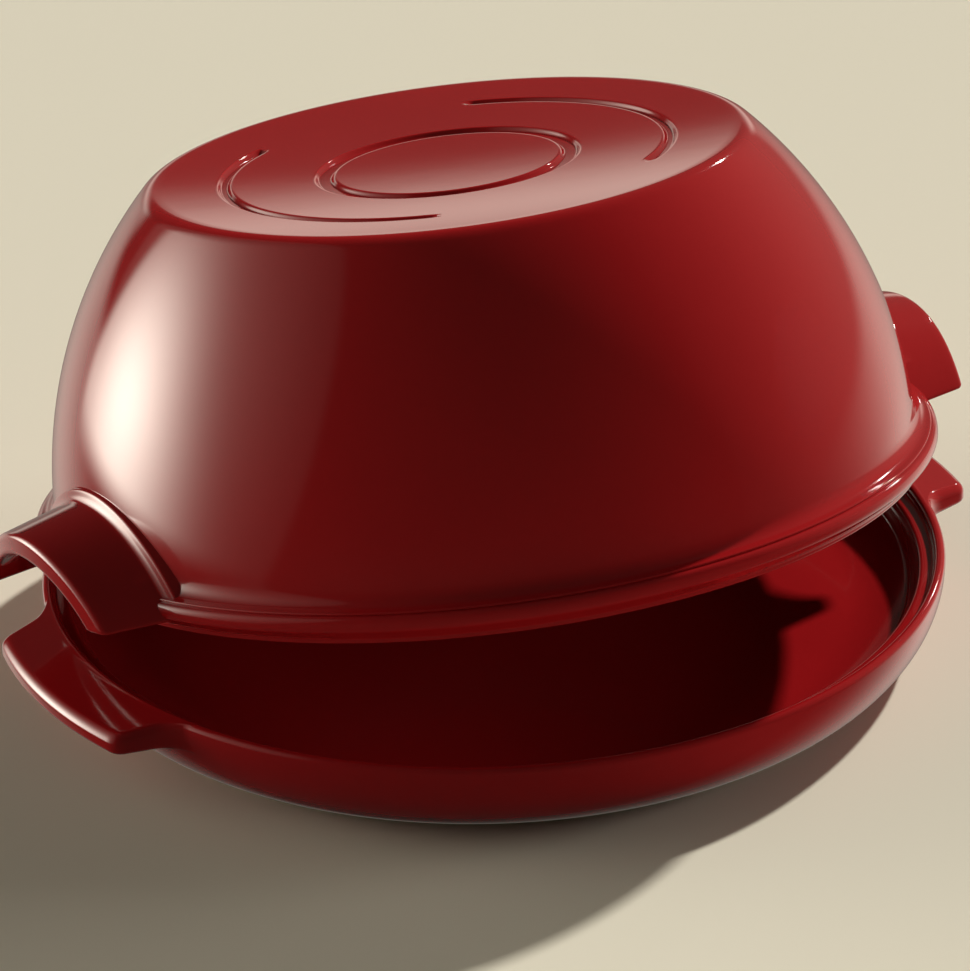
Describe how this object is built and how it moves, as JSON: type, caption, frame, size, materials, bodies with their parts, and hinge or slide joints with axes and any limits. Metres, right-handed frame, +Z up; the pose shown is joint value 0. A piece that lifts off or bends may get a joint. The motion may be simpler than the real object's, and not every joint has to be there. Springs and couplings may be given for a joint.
{
  "type": "bread cloche",
  "caption": "Round glazed ceramic bread baker: shallow tray with flat tab handles and a deep domed lid with arched handles, tipped back on the tray's ledge.",
  "frame": {"origin": "centre of the tray's foot, in the plane on which it stands", "axes": "+Z up; +X along the line through both pairs of handles; +Y away from the raised front, towards the edge on which the lid tips"},
  "size_m": [0.33, 0.2958, 0.1772],
  "materials": {
    "base_glaze": "glossy deep red glaze over fired ceramic, bare clay on the foot ring",
    "lid_glaze": "glossy deep red glaze over fired ceramic"
  },
  "bodies": {
    "base": {"base": "base_glaze"},
    "lid": {"lid": "lid_glaze"}
  },
  "joints": [
    {"name": "lid_tilt", "type": "hinge", "parent": "base", "child": "lid", "pos_m": [0, 0.14565, 0.02595], "axis": [-1, 0, 0], "range_deg": [-9.6, 50]}
  ]
}
